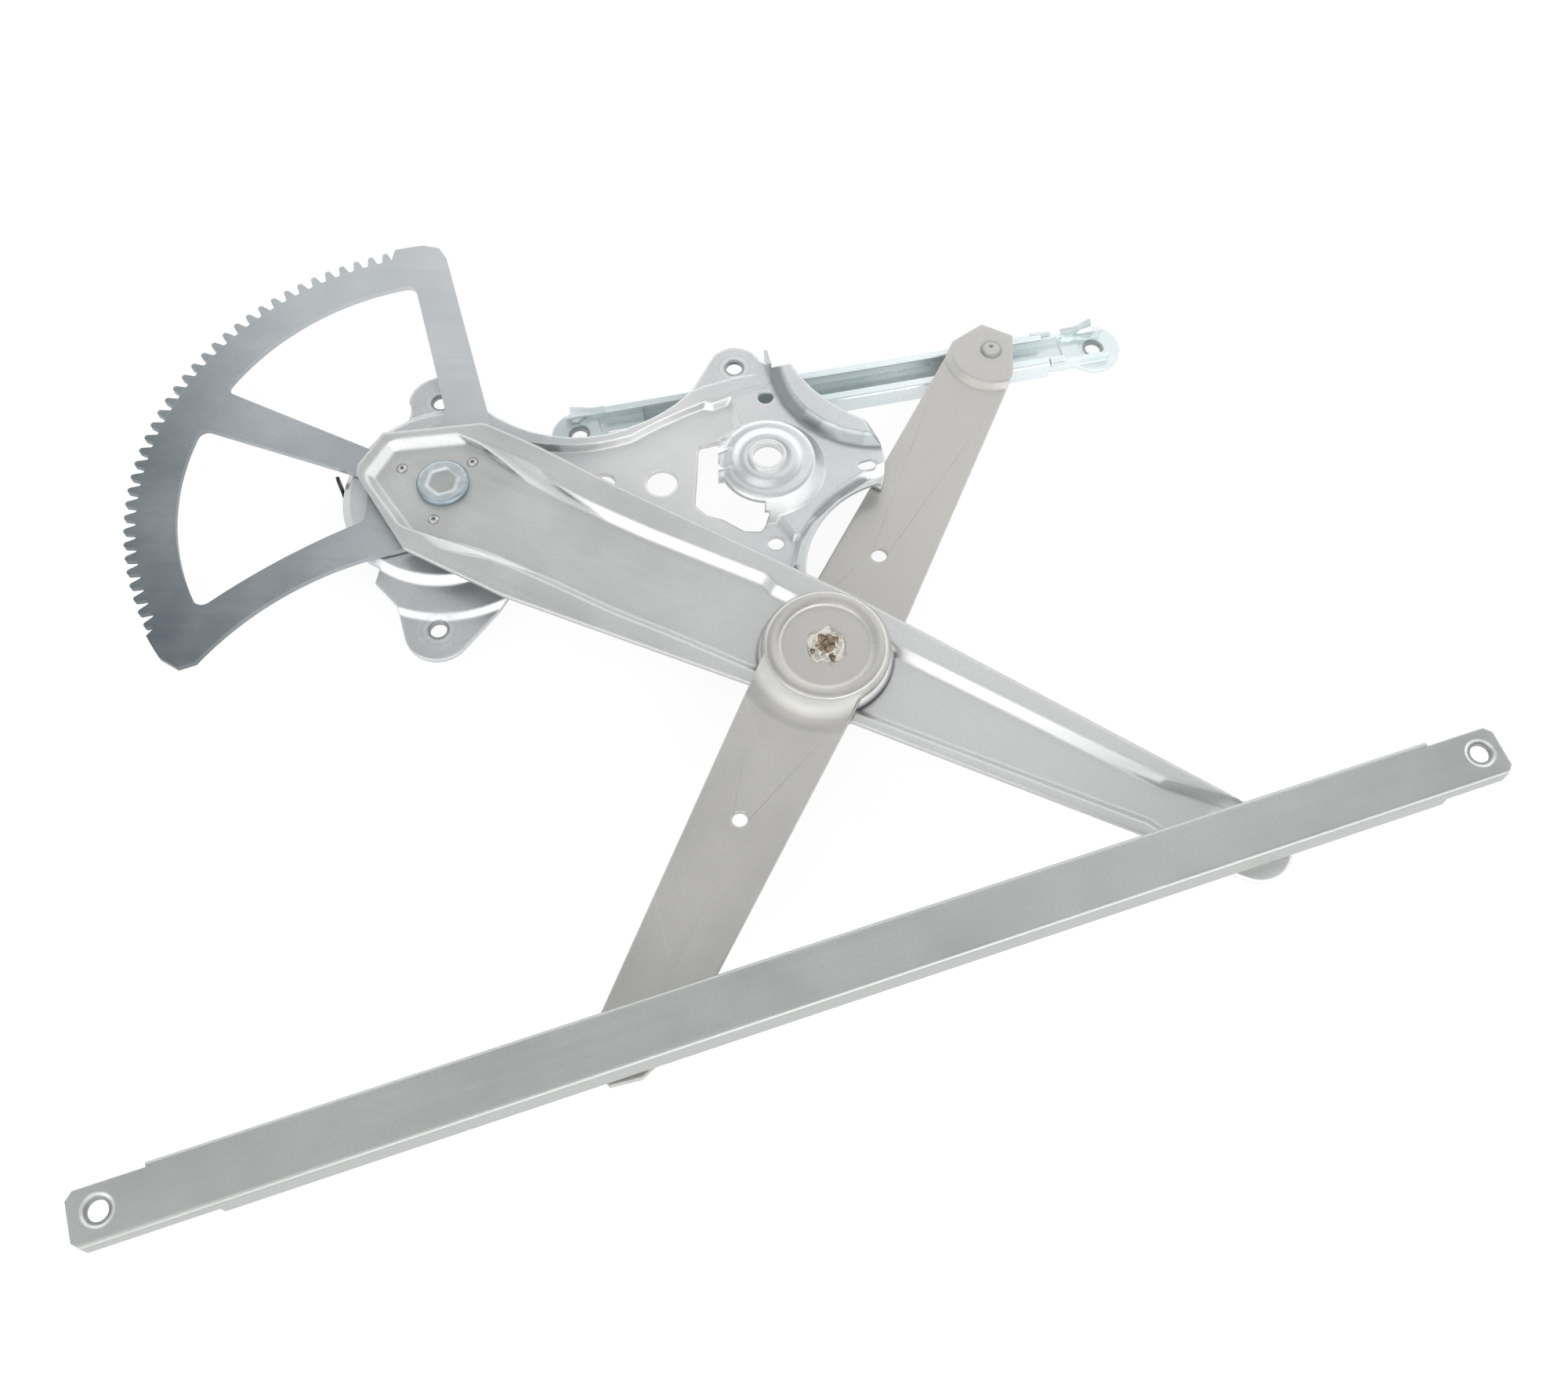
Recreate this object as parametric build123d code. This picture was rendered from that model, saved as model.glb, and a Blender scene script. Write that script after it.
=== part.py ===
"""Window regulator of the crossed-arm kind, lying as supplied without its motor.

The lift arm turns on the base plate and carries a toothed sector. The equalizer arms cross the lift arm at
the centre pivot. Rollers at the arm ends run in the glass channel and in the guide rail.
Every shape is drawn about the main pivot, +X along the glass channel and +Z away from the door panel. The
finished solids are then moved so that the origin lies at the middle of the motor's pilot bore.
All sizes are millimetres and degrees.
"""

from build123d import *
from math import cos, radians, sin, tan
import os

# Toothed sector
module = 2.0
teeth_in_circle = 122
teeth = 36
first_tooth_angle = 88.1
sector_steel = 2.5
sector_band = 20.0
pitch_radius = module * teeth_in_circle / 2
tooth_pitch_angle = 360 / teeth_in_circle
tip_radius = pitch_radius + module
root_radius = pitch_radius - 1.25 * module
window_radius = tip_radius - sector_band
rivet_radius = 1.8
rivet_places = [Vector(-13.6, 12.4, 0), Vector(13.4, 6.4, 0), Vector(-7.4, -14.8, 0)]
tooth_tip_drop = 0.7

# Linkage: four equal half arms
half_arm = 167.0
fold_angle = 45.9
pivot = Vector(0, 0, 0)
centre = Vector(half_arm * cos(radians(fold_angle)), -half_arm * sin(radians(fold_angle)), 0)
lift_end = centre * 2
upper_end = Vector(2 * centre.X, 0, 0)
lower_end = Vector(0, 2 * centre.Y, 0)
lift_direction = -fold_angle
upper_direction = fold_angle
lower_direction = 180 + fold_angle

# Sheet thicknesses and the layers they lie in, counted up from the ears' mounting faces
plate_steel = 2.0
arm_steel = 2.0
running_gap = 0.5
ear_top = plate_steel
field_top = 4.0
step_top = 6.5
boss_top = 7.2
washer_thick = 0.8
sector_bottom = boss_top + washer_thick
sector_top = sector_bottom + sector_steel
floor_top = sector_top + arm_steel
rim_top = floor_top + 3.8
cross_gap = 1.0
lower_body_top = rim_top + cross_gap + arm_steel
disc_top = lower_body_top + 2.2
upper_body_top = -0.6
upper_tab_top = upper_body_top + 2.4
upper_dish_top = sector_top - 1.2
rail_top = upper_body_top - arm_steel - 0.6
channel_bottom = disc_top + 0.9

# Base plate
hub_radius_from_pivot = 127.5
hub_angle = -13.5
hub = Vector(
    hub_radius_from_pivot * cos(radians(hub_angle)), hub_radius_from_pivot * sin(radians(hub_angle)), 0
)
hub_bore = 11.6
hub_top = 14.8
hub_foot_radius = 26.5
hub_shoulder_radius = 18.5
hub_ring_radius = 11.6
hub_collar = 1.4
mount_hole = 6.6
screw_hole = 6.4
slot_length = 7.6
slot_width = 4.6
large_hole = 12.4
ear_upper = Vector(8.4, 46.9, 0)
ear_lower = Vector(-17.5, -56.7, 0)
ear_right = Vector(126.6, 21.5, 0)
screw_upper = Vector(134.2, 3.6, 0)
screw_lower = Vector(116.3, -62.4, 0)
slot_place = Vector(162.0, -40.6, 0)
large_hole_place = Vector(82.3, -21.2, 0)
notch_hole = 9.0
notch_place = Vector(60.4, -14.0, 0)
boss_radius = 38.0
boss_step_radius = 46.0
plate_edge_radius = 41.0

# Pivot pin and bush
pin_diameter = 12.0
pin_head = 20.6
pin_head_thick = 2.6
pin_gap = 0.05
bush_wall = 2.0
bush_flange = 22.0
bush_flange_thick = 1.2
ring_thick = 1.2
groove_depth = 0.8

# Counterbalance spring
spring_steel = 1.4
spring_width = 6.6
spring_turns = 4
spring_pitch = 6.4
spring_inner_radius = 9.0
hook_end = 22.6
hook_width = 2.8

# Centre pivot and arm outlines
centre_pin = 14.0
centre_head = 19.0
centre_head_thick = 1.2
disc_radius = 22.4
disc_recess_radius = 16.6
disc_recess = 1.0
equalizer_width = 41.0
equalizer_hole = 6.2
lower_hole = 5.6
equalizer_hole_place = Vector(153.7, -77.9, 0)
lower_hole_place = Vector(65.0, -174.6, 0)

# Studs and rollers
stud_neck = 7.0
stud_head = 10.5
stud_rivet = 9.0
stud_rivet_thick = 0.7
roller_height = 7.4
roller_gap = 0.3

# Glass channel
channel_width = 20.0
channel_height = 12.5
channel_steel = 1.8
channel_lip = 2.8
channel_left = -170.5
channel_right = 321.5
channel_hole = 6.8
channel_hole_left = -161.5
channel_hole_right = 313.5
channel_left_trim = 25.0
channel_right_trim = 24.0
channel_flange_trim = 43.0
channel_corner = 3.6

# Guide rail
rail_angle = -7.0
rail_width = 17.6
rail_depth = 9.6
rail_steel = 1.6
rail_lip = 2.4
rail_left = -163.0
rail_right = 24.0
rail_hole = 6.6
rail_hole_left = -174.8
rail_hole_right = 46.0
rail_end_radius = 11.5
bracket_steel = 2.0
bracket_wall = 1.4
bracket_height = 6.4

# Level from which the pressed forms are drawn upward, below every pressed surface
form_floor = -10.0


def point(radius, angle):
    """Place at a radius and angle about the main pivot."""
    return (radius * cos(radians(angle)), radius * sin(radians(angle)))


def outline(points, rounding=0.0):
    """Flat face inside a closed outline, with its corners rounded."""
    face = make_face(Polyline(*points, close=True))
    if rounding:
        face = fillet(face.vertices(), rounding)
    return face


def bend(start, middle, end, steps=5):
    """Places along the arc through three places, without its last one."""
    arc = ThreePointArc(start, middle, end)
    return [((arc @ (count / steps)).X, (arc @ (count / steps)).Y) for count in range(steps)]


def prism(face, bottom, top):
    """Upright solid over a flat face."""
    return Pos(0, 0, bottom) * extrude(face, top - bottom)


def inset(points, distance):
    """Corners of a polygon moved inward so that each side moves by the same distance."""
    corners = [Vector(*place) for place in points]
    area = sum(a.X * b.Y - b.X * a.Y for a, b in zip(corners, corners[1:] + corners[:1]))
    turn = 1 if area > 0 else -1
    moved = []
    for before, here, after in zip(corners[-1:] + corners[:-1], corners, corners[1:] + corners[:1]):
        first = (here - before).normalized()
        second = (after - here).normalized()
        normal = Vector(-first.Y - second.Y, first.X + second.X) * turn
        scale = distance / (1 + first.dot(second))
        moved.append((here.X + normal.X * scale, here.Y + normal.Y * scale))
    return moved


def ridge(points, bottom, top, lean):
    """Raised solid over a polygon of flat sides, for outlines that bend both ways."""
    top_points = inset(points, (top - bottom) * tan(radians(lean)))
    sides = loft([Pos(0, 0, bottom) * outline(points), Pos(0, 0, top) * outline(top_points)], ruled=True)
    return prism(outline(points), form_floor, bottom) + sides


def sunk(face, bottom, top, lean=45.0):
    """Solid whose floor is the flat face and whose walls lean outward as they rise."""
    return Pos(0, 0, bottom) * extrude(face, top - bottom, taper=-lean)


def cylinder(place, radius, bottom, top):
    """Upright cylinder at a place."""
    return Pos(place.X, place.Y, (bottom + top) / 2) * Cylinder(radius, top - bottom)


def cone(place, low_radius, high_radius, bottom, top):
    """Upright cone frustum at a place."""
    return Pos(place.X, place.Y, (bottom + top) / 2) * Cone(low_radius, high_radius, top - bottom)


def pressed(form, steel):
    """Sheet of even upright thickness whose top surface is that of a solid form."""
    return form - Pos(0, 0, -steel) * form


def along(start, direction, forward, side):
    """Place measured forward along a direction and to its left side."""
    c = cos(radians(direction))
    s = sin(radians(direction))
    return (start.X + forward * c - side * s, start.Y + forward * s + side * c)


def sector_gear():
    """Sheet sector: three arms, a rim band and stubby rounded teeth."""
    flank = tooth_pitch_angle
    edges = []
    start_angle = first_tooth_angle - flank / 2
    end_angle = first_tooth_angle + (teeth - 0.5) * flank
    corner = None
    for count in range(teeth):
        middle = first_tooth_angle + count * flank
        root_in = point(root_radius, middle - 0.33 * flank)
        tip_in = point(tip_radius - tooth_tip_drop, middle - 0.17 * flank)
        tip = point(tip_radius, middle)
        tip_out = point(tip_radius - tooth_tip_drop, middle + 0.17 * flank)
        root_out = point(root_radius, middle + 0.33 * flank)
        if corner:
            edges.append(ThreePointArc(corner, point(root_radius - 0.25, middle - flank / 2), root_in))
        edges.append(Line(root_in, tip_in))
        edges.append(ThreePointArc(tip_in, tip, tip_out))
        edges.append(Line(tip_out, root_out))
        corner = root_out
    first = point(root_radius, first_tooth_angle - 0.33 * flank)
    land_first = point(tip_radius + 0.8, start_angle - 0.6)
    land_last = point(tip_radius + 0.8, end_angle + 0.6)
    right_side = [
        Line(first, land_first),
        ThreePointArc(land_first, point(tip_radius + 0.8, 84.0), point(tip_radius + 0.8, 80.5)),
        Line(point(tip_radius + 0.8, 80.5), (26.6, 119.5)),
        Line((26.6, 119.5), (28.3, 113.0)),
        Line((28.3, 113.0), (24.8, 24.0)),
        Line((24.8, 24.0), (16.0, -22.0)),
    ]
    lower_side = [
        Line(corner, land_last),
        ThreePointArc(land_last, point(tip_radius + 0.8, 196.6), point(tip_radius + 0.8, 198.6)),
        Line(point(tip_radius + 0.8, 198.6), (-112.8, -46.2)),
        Line((-112.8, -46.2), (-106.0, -46.0)),
        ThreePointArc((-106.0, -46.0), (-66.5, -26.6), (-24.0, -22.6)),
        Line((-24.0, -22.6), (16.0, -22.0)),
    ]
    blank = make_face([*edges, *right_side, *lower_side])
    upper_right = point(window_radius, 83.2)
    upper_left = point(window_radius, 134.6)
    upper_window = make_face(
        [
            ThreePointArc(upper_right, point(window_radius, 110.0), upper_left),
            Line(upper_left, point(32.0, 130.5)),
            ThreePointArc(point(32.0, 130.5), point(29.0, 102.0), point(32.0, 74.0)),
            Line(point(32.0, 74.0), upper_right),
        ]
    )
    lower_right = point(window_radius, 145.2)
    lower_left = point(window_radius, 193.4)
    lower_window = make_face(
        [
            ThreePointArc(lower_right, point(window_radius, 168.0), lower_left),
            ThreePointArc(lower_left, (-66.5, -12.0), point(34.0, 189.0)),
            ThreePointArc(point(34.0, 189.0), point(30.0, 170.0), point(32.0, 152.0)),
            Line(point(32.0, 152.0), lower_right),
        ]
    )
    upper_window = fillet(upper_window.vertices(), 4.0)
    lower_window = fillet(lower_window.vertices(), 4.0)
    plate = prism(blank - upper_window - lower_window, sector_bottom, sector_top)
    plate -= cylinder(pivot, pin_diameter / 2 + pin_gap, sector_bottom - 1, sector_top + 1)
    for place in rivet_places:
        plate -= cylinder(place, rivet_radius, sector_bottom - 1, sector_top + 1)
    return plate


def sector_rivets():
    """Flush rivets through the lift arm's floor and the sector."""
    group = []
    for place in rivet_places:
        shank = cylinder(place, rivet_radius, sector_bottom, floor_top)
        head = cone(place, rivet_radius + 0.6, rivet_radius - 0.6, floor_top, floor_top + 0.7)
        group.append(shank + head)
    return Compound(children=group)


def lift_outline():
    """Plan of the lift arm, tapering from the pivot end to the roller end."""
    tip = 12.0
    return make_face(
        [
            Line((-16.9, 28.8), (22.0, 20.9)),
            ThreePointArc((22.0, 20.9), (29.5, 13.6), (40.6, 1.8)),
            Line((40.6, 1.8), (62.9, -24.0)),
            Line((62.9, -24.0), along(centre, lift_direction, 0, 26.0)),
            Line(along(centre, lift_direction, 0, 26.0), along(lift_end, lift_direction, -14, tip + 1.6)),
            Line(along(lift_end, lift_direction, -14, tip + 1.6), along(lift_end, lift_direction, 2, tip)),
            ThreePointArc(
                along(lift_end, lift_direction, 2, tip),
                along(lift_end, lift_direction, 2 + tip, 0),
                along(lift_end, lift_direction, 2, -tip),
            ),
            Line(along(lift_end, lift_direction, 2, -tip), along(centre, lift_direction, 0, -23.0)),
            Line(along(centre, lift_direction, 0, -23.0), (8.9, -57.9)),
            Line((8.9, -57.9), (-21.3, -26.1)),
            Line((-21.3, -26.1), (-31.0, 13.0)),
            Line((-31.0, 13.0), (-29.8, 17.0)),
            Line((-29.8, 17.0), (-16.9, 28.8)),
        ]
    )


def lift_arm():
    """Pressed lift arm: a flat floor inside a raised rim, open to plain flats near the roller end."""
    floor = outline(
        [
            (-14.0, 21.4),
            (14.0, 15.4),
            (25.4, 3.4),
            (32.0, -11.0),
            (44.0, -25.0),
            (67.0, -49.0),
            along(centre, lift_direction, -35, 16.2),
            along(centre, lift_direction, -30, 13.8),
            along(lift_end, lift_direction, -26, 5.6),
            along(lift_end, lift_direction, -26, -6.0),
            along(centre, lift_direction, 10, -15.4),
            (66.5, -93.0),
            (48.0, -76.0),
            (30.0, -57.0),
            (12.0, -39.0),
            (1.0, -30.0),
            (-9.0, -24.6),
            (-15.5, -20.0),
            (-25.0, 11.0),
        ],
        2.0,
    )
    form = prism(lift_outline(), sector_top - 6, rim_top) - sunk(floor, floor_top, rim_top + 1, 42)
    open_end = outline(
        [
            along(lift_end, lift_direction, -36, 6.0),
            along(lift_end, lift_direction, 30, 16.0),
            along(lift_end, lift_direction, 30, -18.0),
            along(lift_end, lift_direction, -36, -6.6),
        ]
    )
    form -= sunk(open_end, floor_top, rim_top + 1, 42)
    boss = cone(centre, 25.5, 23.4, rim_top - 2.0, rim_top + 0.4)
    form = form + (boss & prism(lift_outline(), sector_top - 6, rim_top + 2))
    form = form - cone(centre, 19.4, 22.4, floor_top, rim_top + 2)
    arm = pressed(form, arm_steel) & prism(lift_outline(), sector_top - 0.001, rim_top + 3)
    arm -= cylinder(pivot, pin_diameter / 2 + pin_gap, sector_top - 1, rim_top + 2)
    for place in rivet_places:
        arm -= cylinder(place, rivet_radius, sector_top - 1, rim_top + 2)
    arm -= cylinder(centre, centre_pin / 2 + pin_gap, sector_top - 1, rim_top + 2)
    arm -= cylinder(lift_end, stud_neck / 2, sector_top - 1, rim_top + 2)
    return arm


def base_outline():
    """Plan of the base plate with its three ears."""
    return make_face(
        [
            ThreePointArc((-30.4, -56.0), (-22.5, -68.7), (-9.0, -66.6)),
            Line((-9.0, -66.6), (14.0, -50.5)),
            Line((14.0, -50.5), (58.0, -66.0)),
            Line((58.0, -66.0), (100.0, -88.0)),
            Line((100.0, -88.0), (121.0, -88.0)),
            ThreePointArc((121.0, -88.0), (133.4, -63.0), (163.5, -51.6)),
            ThreePointArc((163.5, -51.6), (168.8, -43.0), (167.4, -22.4)),
            ThreePointArc((167.4, -22.4), (154.6, -5.2), (148.4, 14.2)),
            Line((148.4, 14.2), (140.8, 16.0)),
            Line((140.8, 16.0), (137.4, 22.0)),
            ThreePointArc((137.4, 22.0), (128.6, 31.6), (118.6, 28.2)),
            Line((118.6, 28.2), (107.0, 16.4)),
            ThreePointArc((107.0, 16.4), (76.0, 6.6), (43.5, 15.0)),
            ThreePointArc((43.5, 15.0), (32.0, 25.0), (21.0, 43.0)),
            ThreePointArc((21.0, 43.0), (11.5, 59.5), (-3.8, 51.5)),
            ThreePointArc((-3.8, 51.5), (-4.6, 45.0), point(plate_edge_radius, 102)),
            ThreePointArc(
                point(plate_edge_radius, 102), point(plate_edge_radius, 160), point(plate_edge_radius, 208)
            ),
            Line(point(plate_edge_radius, 208), (-32.4, -24.0)),
            Line((-32.4, -24.0), (-35.6, -30.0)),
            Line((-35.6, -30.0), (-30.0, -42.0)),
            Line((-30.0, -42.0), (-30.4, -56.0)),
        ]
    )


def base_plate():
    """Pressed base plate: pivot boss, stepped field, raised rims, ears and the bridge over the teeth."""
    plan = base_outline()
    low = form_floor
    form = prism(plan, low, ear_top)
    field = [(-4, 0), (36, 25), (60, 12), (90, 9), (112, 17), (134, 12)]
    field += [(146, -20), (134, -66), (118, -82), (96, -84), (50, -62), (6, -44)]
    form += ridge(field, ear_top - 0.9, field_top, 45)
    step = [(118, 14), (133, 18), (152, 20), (178, -20), (178, -44), (163, -46), (148, -51)]
    step += [(136, -58), (128, -66), (121.5, -66), (118, -54), (116, -38), (115.5, -16)]
    form += ridge(step, field_top - 1.2, step_top, 45)
    rim_band = [
        *bend((136.0, 17.0), (107.0, 17.6), (76.0, 8.0)),
        *bend((76.0, 8.0), (56.0, 10.6), (40.0, 19.0)),
        *bend((40.0, 19.0), (30.0, 29.0), (20.0, 47.0)),
        (20.0, 47.0),
        *bend((15.0, 37.0), (26.0, 18.6), (41.0, 8.6)),
        *bend((41.0, 8.6), (58.0, 2.6), (77.0, 1.0)),
        *bend((77.0, 1.0), (105.0, 6.8), (136.0, 8.0)),
        (136.0, 8.0),
    ]
    form += ridge(rim_band, field_top - 0.8, boss_top, 25)
    right_ear = [(99, 12), (112, 36), (132, 42), (150, 30), (148, 11), (137, 6.6), (112, 5.0)]
    form += ridge(right_ear, field_top - 1.0, boss_top - 0.3, 35)
    right_rim = [
        *bend((152.0, 18.0), (159.0, -4.6), (172.0, -21.0)),
        (172.0, -21.0),
        *bend((172.0, -36.0), (152.5, -25.6), (139.6, -3.0)),
        (139.6, -3.0),
        (138.0, 18.0),
    ]
    form += ridge(right_rim, step_top - 1.1, step_top + 4.6, 40)
    lower_rim = [(168, -54), (150, -64), (136, -72), (126, -92), (116, -92)]
    lower_rim += [(117.5, -76), (123, -66.5), (131, -59), (144, -52), (161, -46.5)]
    form += ridge(lower_rim, field_top + 1.3, step_top + 2.4, 35)
    step_centre = Vector(0, -6.5, 0)
    form += cone(step_centre, boss_step_radius + 4.5, boss_step_radius + 1.0, ear_top - 1, field_top)
    form += cone(pivot, boss_radius + 4.0, boss_radius, field_top - 1, boss_top)
    form += cone(hub, hub_foot_radius, hub_shoulder_radius, ear_top - 0.7, hub_top - 1.8)
    form += cone(hub, hub_shoulder_radius - 3.6, hub_ring_radius, hub_top - 3.0, hub_top)
    plate = pressed(form & prism(plan, low, hub_top + 4), plate_steel)
    plate += cylinder(hub, hub_bore / 2 + 1.6, hub_top - 1.0, hub_top + hub_collar)
    sweep = cylinder(pivot, tip_radius + 2.2, sector_bottom - 0.4, sector_top + 0.8)
    sweep -= cylinder(pivot, boss_radius + 6, sector_bottom - 1, sector_top + 1)
    plate -= sweep
    window = [(101.5, -9.4), (91.6, -36.0), (94.5, -41.5), (100.0, -45.5), (106.4, -53.4)]
    window += [(112.6, -55.6), (117.4, -51.0), (118.6, -44.0), (115.0, -30.0), (112.0, -10.0)]
    plate -= prism(outline(window, 1.5), low, sector_bottom)
    plate -= cylinder(hub, hub_ring_radius, low, sector_bottom)
    behind_tongue = [(80.0, 10.0), (80.0, -60.0), (112.0, -60.0), (106.0, -43.5)]
    behind_tongue += [(102.4, -38.0), (105.6, -17.6), (106.6, -12.0), (112.0, 6.0)]
    plate -= prism(outline(behind_tongue), sector_bottom - 0.2, hub_top + 4)
    for place in (ear_upper, ear_lower, ear_right):
        plate -= cylinder(place, mount_hole / 2, low, hub_top)
    for place in (screw_upper, screw_lower):
        plate -= cylinder(place, screw_hole / 2, low, hub_top)
    plate -= cylinder(large_hole_place, large_hole / 2, low, hub_top)
    plate -= cylinder(notch_place, notch_hole / 2, low, hub_top)
    slot = Pos(slot_place.X, slot_place.Y, low) * extrude(SlotOverall(slot_length, slot_width), 20)
    plate -= slot
    plate -= cylinder(hub, hub_bore / 2, low, hub_top + 5)
    plate -= cylinder(pivot, pin_diameter / 2 + pin_gap + bush_wall, low, hub_top)
    return plate


bush_bottom = boss_top - plate_steel - 6.0
ring_bottom = bush_bottom - 0.3 - ring_thick
slot_above_ring = 0.4
pin_bottom = ring_bottom - slot_above_ring - spring_width - 0.6


def pivot_bush():
    """Flanged sleeve pressed into the base plate's boss."""
    seat = boss_top - plate_steel
    sleeve = cylinder(pivot, pin_diameter / 2 + pin_gap + bush_wall, bush_bottom, boss_top)
    flange = cylinder(pivot, bush_flange / 2, seat - bush_flange_thick, seat)
    return sleeve + flange - cylinder(pivot, pin_diameter / 2 + pin_gap, bush_bottom - 1, boss_top + 1)


def thrust_washer():
    """Washer between the base plate and the sector."""
    ring = cylinder(pivot, 15.0, boss_top, sector_bottom)
    return ring - cylinder(pivot, pin_diameter / 2 + 0.3, boss_top - 1, sector_bottom + 1)


def main_pivot_pin():
    """Headed pin, staked hexagonally in its head and slotted below for the spring."""
    head = cylinder(pivot, pin_head / 2, floor_top, floor_top + pin_head_thick)
    head = chamfer(head.edges().group_by(Axis.Z)[-1], 0.9)
    staking = Pos(0, 0, floor_top + pin_head_thick - 0.8) * extrude(RegularPolygon(6.2, 6), 2, taper=-20)
    shank = cylinder(pivot, pin_diameter / 2, pin_bottom, floor_top)
    pin = head + shank - staking
    slot_depth = ring_bottom - slot_above_ring - pin_bottom
    pin -= Pos(0, 0, pin_bottom + slot_depth / 2) * Box(pin_diameter + 2, spring_steel + 0.6, slot_depth)
    groove_middle = ring_bottom + ring_thick / 2
    groove = cylinder(pivot, pin_diameter, groove_middle - ring_thick / 2, groove_middle + ring_thick / 2)
    groove -= cylinder(pivot, pin_diameter / 2 - groove_depth, groove_middle - 2, groove_middle + 2)
    return pin - groove


def pivot_ring():
    """Retaining ring in the pin's groove below the bush."""
    top = ring_bottom + ring_thick
    ring = cylinder(pivot, pin_diameter / 2 + 1.8, ring_bottom, top)
    ring -= cylinder(pivot, pin_diameter / 2 - groove_depth, top - 5, top + 5)
    return ring - Pos(pin_diameter / 2, 0, top) * Box(pin_diameter, 3.0, 10)


def counterbalance_spring():
    """Relaxed spiral spring, its tang in the pin's slot and its outer end hooked over the boss's edge."""
    top = ring_bottom - slot_above_ring - 0.3
    bottom = top - spring_width
    radius = spring_inner_radius
    shift = spring_pitch / 4
    side = -1
    tang = spring_inner_radius - shift
    coil = Pos(tang / 2, 0) * Rectangle(tang, spring_steel)
    for half in range(2 * spring_turns - 1):
        band = Circle(radius + spring_steel / 2) - Circle(radius - spring_steel / 2)
        coil += Pos(side * shift, 0) * (band & Pos(0, side * 50, 0) * Rectangle(200, 100))
        radius += spring_pitch / 2
        side = -side
    coil_end = spring_pitch / 2 - radius - shift
    hook_x = -plate_edge_radius + 1.8
    leg = Polyline(
        (coil_end - spring_steel / 2, 0),
        (coil_end + spring_steel / 2, 0),
        (hook_x + spring_steel / 2, 19.0),
        (hook_x + spring_steel / 2, hook_end),
        (hook_x - spring_steel / 2, hook_end),
        (hook_x - spring_steel / 2, 18.5),
        close=True,
    )
    spring = prism(coil + make_face(leg), bottom, top)
    hook_middle = Pos(hook_x, hook_end - hook_width / 2, (bottom + ear_top) / 2)
    hook = hook_middle * Box(spring_steel, hook_width, ear_top - bottom + 6.0)
    return spring + hook


def lower_plan(half_width):
    """Plan of the lower equalizer half, from the centre pivot out to its roller end."""
    return [
        along(centre, lower_direction, 0, -half_width),
        along(centre, lower_direction, half_arm - 4, -9.6),
        along(centre, lower_direction, half_arm + 6, -5.5),
        along(centre, lower_direction, half_arm + 10, 4.0),
        along(centre, lower_direction, half_arm + 3, 12.5),
        along(centre, lower_direction, half_arm - 14, 18.6),
        along(centre, lower_direction, 0, half_width),
    ]


def lower_equalizer_arm():
    """Equalizer half above the lift arm, dished round the centre pivot."""
    plan = outline(lower_plan(equalizer_width / 2))
    plan = plan + Pos(centre.X, centre.Y) * Circle(disc_radius + 1.6)
    form = prism(plan, rim_top - 5, lower_body_top)
    form += cone(centre, disc_radius + 1.6, disc_radius, lower_body_top - 0.5, disc_top)
    dish_floor = disc_top - disc_recess
    form -= cone(centre, disc_recess_radius, disc_recess_radius + 1.0, dish_floor, disc_top + 0.01)
    arm = pressed(form, arm_steel)
    arm -= cylinder(centre, centre_pin / 2, rim_top - 6, disc_top + 2)
    arm -= cylinder(lower_hole_place, lower_hole / 2, rim_top - 6, disc_top)
    arm -= cylinder(lower_end, stud_neck / 2, rim_top - 6, disc_top)
    return arm


def upper_equalizer_arm():
    """Equalizer half below the lift arm, dished up to the centre pivot and stepped up at its roller end."""
    plan = make_face(
        Polyline(
            along(centre, upper_direction, 0, 20.5),
            along(centre, upper_direction, half_arm - 3, 16.2),
            along(centre, upper_direction, half_arm + 10.5, 8.6),
            along(centre, upper_direction, half_arm + 10.5, -5.4),
            along(centre, upper_direction, half_arm - 7, -12.6),
            along(centre, upper_direction, 0, -20.5),
            close=True,
        )
    )
    plan = plan + Pos(centre.X, centre.Y) * Circle(23.0)
    form = prism(plan, upper_body_top - 12, upper_body_top)
    form += cone(centre, 22.6, 13.0, upper_body_top - 0.5, upper_dish_top)
    tab = cone(upper_end, 20.4, 16.8, upper_body_top - 0.5, upper_tab_top) & prism(plan, -20, 20)
    form += tab
    arm = pressed(form, arm_steel) & prism(plan, -9, 20)
    arm -= cylinder(centre, centre_pin / 2, -20, 20)
    arm -= cylinder(equalizer_hole_place, equalizer_hole / 2, -20, 20)
    arm -= cylinder(upper_end, stud_neck / 2, -20, 20)
    return arm


def centre_pivot_pin():
    """Stepped rivet through both equalizer halves, turning in the lift arm."""
    seat = upper_dish_top
    top = disc_top - disc_recess
    shank = cylinder(centre, centre_pin / 2, seat - arm_steel, top)
    foot = cylinder(centre, centre_head / 2, seat - arm_steel - centre_head_thick, seat - arm_steel)
    head = cylinder(centre, 4.0, top, top + 0.6)
    return shank + foot + head


def centre_washer(bottom, top):
    """Spacer washer on the centre pivot."""
    ring = cylinder(centre, 12.0, bottom, top)
    return ring - cylinder(centre, centre_pin / 2, bottom - 1, top + 1)


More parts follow.
